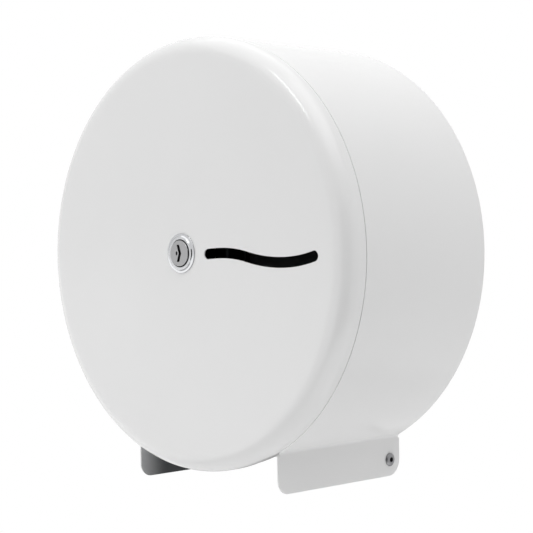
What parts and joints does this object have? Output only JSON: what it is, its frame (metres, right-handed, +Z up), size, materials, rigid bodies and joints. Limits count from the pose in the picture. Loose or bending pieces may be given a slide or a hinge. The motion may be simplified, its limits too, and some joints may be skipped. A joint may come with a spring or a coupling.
{
  "type": "jumbo toilet roll dispenser",
  "caption": "Round wall-mounted steel dispenser for a jumbo toilet roll, with a hinged locking cover, a wavy viewing slot and an open paper outlet below.",
  "frame": {"origin": "on the wall, at the axis of the drum", "axes": "+Y into the wall, +Z up, +X to the right of someone facing the dispenser"},
  "size_m": [0.265, 0.1306, 0.2749],
  "materials": {
    "white_powder_coat": "smooth satin powder coat on steel sheet",
    "chromed_zinc": "polished chrome",
    "nickelled_brass": "satin nickel plate",
    "rivet_steel": "plain steel",
    "zinc_plate": "bright zinc plate on steel",
    "black_rubber": "matt rubber",
    "grey_abs": "fine moulded texture",
    "white_nylon": "natural nylon"
  },
  "bodies": {
    "wall_unit": {"back_plate": "white_powder_coat", "cover_buffer": "black_rubber", "spindle_flange": "zinc_plate", "spindle_rivets": "rivet_steel", "spindle_tube": "zinc_plate", "spindle_end_plate": "zinc_plate", "clinch_nuts": "zinc_plate", "retainer_disc": "zinc_plate", "keeper_bracket": "zinc_plate", "keeper_screws": "zinc_plate", "thrust_washer": "white_nylon", "hinge_washers": "white_nylon", "hinge_rivets": "rivet_steel"},
    "cover": {"front_cap": "white_powder_coat", "drum_band": "white_powder_coat", "lock_body": "chromed_zinc", "lock_washer": "zinc_plate", "lock_nut": "zinc_plate"},
    "lock": {"lock_plug": "nickelled_brass", "lock_cam": "zinc_plate", "cam_washer": "zinc_plate", "cam_screw": "zinc_plate"},
    "hub": {"roll_hub": "grey_abs"}
  },
  "joints": [
    {"name": "cover_hinge", "type": "hinge", "parent": "wall_unit", "child": "cover", "pos_m": [0, -0.012, -0.132], "axis": [1, 0, 0], "range_deg": [0, 90]},
    {"name": "lock_turn", "type": "hinge", "parent": "cover", "child": "lock", "pos_m": [-0.002, -0.108, 0.0009], "axis": [0, 1, 0], "range_deg": [0, 90]},
    {"name": "hub_spin", "type": "hinge", "parent": "wall_unit", "child": "hub", "pos_m": [0, -0.05, 0], "axis": [0, 1, 0], "continuous": true}
  ]
}
